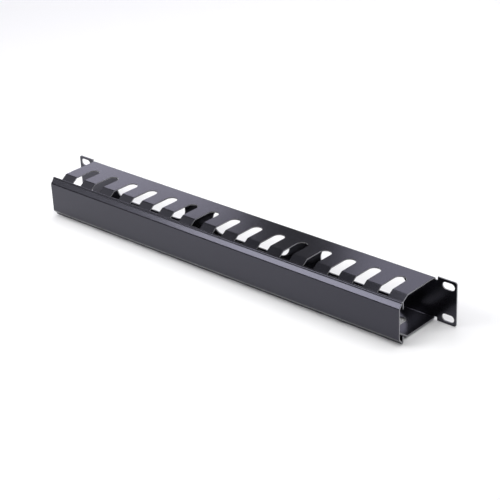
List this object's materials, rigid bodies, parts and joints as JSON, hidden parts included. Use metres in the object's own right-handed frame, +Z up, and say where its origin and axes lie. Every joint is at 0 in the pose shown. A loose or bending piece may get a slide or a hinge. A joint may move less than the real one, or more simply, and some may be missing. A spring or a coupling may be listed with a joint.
{
  "type": "rack cable manager",
  "caption": "One-unit rack panel with an open slotted cable duct of folded steel, oblong rear openings and a pull-off front cover.",
  "frame": {"origin": "middle of the rear face, at the centre of the four rack slots", "axes": "X along the panel to the right as seen from the front, +Y to the back, -Y to the front, +Z up"},
  "size_m": [0.4826, 0.06, 0.044],
  "materials": {
    "duct_paint": "satin black powder coat with a fine texture",
    "cover_paint": "satin black powder coat with a fine texture"
  },
  "bodies": {
    "duct": {"duct_body": "duct_paint"},
    "cover": {"front_cover": "cover_paint"}
  },
  "joints": [
    {"name": "cover_pull", "type": "slide", "parent": "duct", "child": "cover", "axis": [0, -1, 0], "range_m": [0, 0.06]}
  ]
}
